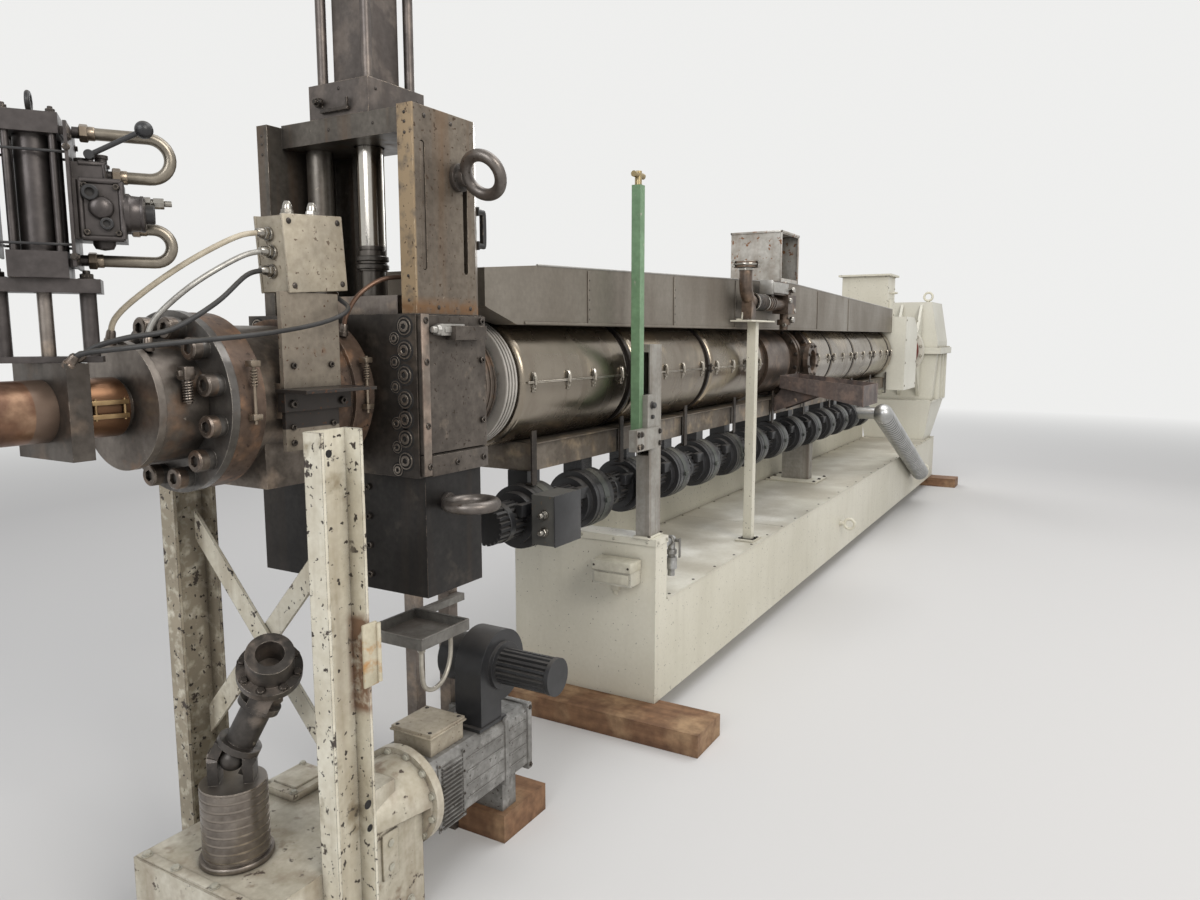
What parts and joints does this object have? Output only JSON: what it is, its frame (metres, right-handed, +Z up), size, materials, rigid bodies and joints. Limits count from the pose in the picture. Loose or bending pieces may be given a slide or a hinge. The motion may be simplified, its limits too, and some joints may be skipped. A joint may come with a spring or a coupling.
{
  "type": "plastic extruder line",
  "caption": "Single-screw plastic extruder on a box base, with air-cooled barrel covers, a slide-plate screen changer, a gate valve and a pump drive stand.",
  "frame": {"origin": "on the floor under the near end of the base frame, below the barrel axis, in the underside of the near timber sleeper", "axes": "+X along the barrel from the discharge end to the gearbox; -Y is the operator's side; +Z up"},
  "size_m": [9.562, 1.29, 2.866],
  "materials": {
    "cream_paint": "satin",
    "stainless": "satin",
    "dark_steel": "matte",
    "bare_steel": "satin",
    "black_paint": "satin",
    "rusty_steel": "matte",
    "galvanised": "matte",
    "chrome": "polished",
    "timber": "matte",
    "oxide_red": "satin",
    "green_paint": "satin",
    "black_plastic": "glossy"
  },
  "bodies": {
    "machine": {"sleepers": "timber", "base_frame": "cream_paint", "deck_plates": "cream_paint", "lifting_eyes": "cream_paint", "changer_eyes": "dark_steel", "barrel_pedestal": "galvanised", "barrel": "bare_steel", "barrel_flange": "bare_steel", "vent_section": "rusty_steel", "cover_straps": "dark_steel", "upper_covers": "stainless", "lower_covers": "stainless", "plenums": "stainless", "plenum_hangers": "rusty_steel", "blower_drums": "black_paint", "blower_motors": "black_paint", "exhaust_hood": "stainless", "chimney": "galvanised", "vent_stand": "cream_paint", "vent_line": "rusty_steel", "drip_trough": "rusty_steel", "air_duct": "galvanised", "feed_housing": "cream_paint", "feed_box": "cream_paint", "drive_coupling": "oxide_red", "gearbox": "cream_paint", "gearbox_pedestal": "cream_paint", "barrel_supports": "black_paint", "screen_block": "dark_steel", "block_cover": "dark_steel", "lower_guide": "dark_steel", "yoke_frame": "dark_steel", "yoke_side_plate": "bare_steel", "cylinder_heads": "dark_steel", "cylinder_body": "dark_steel", "adapter_rings": "rusty_steel", "adapter_body": "bare_steel", "bracket_plate": "cream_paint", "bolt_flange": "bare_steel", "turned_neck": "bare_steel", "valve_body": "bare_steel", "outlet_pipe": "rusty_steel", "valve_cylinder": "dark_steel", "valve_manifold": "dark_steel", "stand": "cream_paint", "drive_base": "cream_paint", "drive_gearcase": "cream_paint", "drive_motor": "galvanised", "motor_blower": "black_paint", "cardan_shaft": "dark_steel", "drip_tray": "bare_steel", "terminal_boxes": "galvanised", "grey_post": "galvanised", "green_post": "green_paint", "water_valve": "galvanised"},
    "changer_slide": {"piston_rod": "chrome", "slide_plate": "dark_steel"},
    "gate": {"valve_rod": "chrome"},
    "lever": {"valve_lever": "black_plastic"}
  },
  "joints": [
    {"name": "changer_stroke", "type": "slide", "parent": "machine", "child": "changer_slide", "axis": [0, 0, 1], "range_m": [0, 0.24]},
    {"name": "gate_stroke", "type": "slide", "parent": "machine", "child": "gate", "axis": [0, 0, 1], "range_m": [0, 0.06]},
    {"name": "lever_tilt", "type": "hinge", "parent": "machine", "child": "lever", "pos_m": [-1.97357, -0.07964, 1.896], "axis": [0.5736, 0.8192, 0], "range_deg": [-15, 15]}
  ]
}
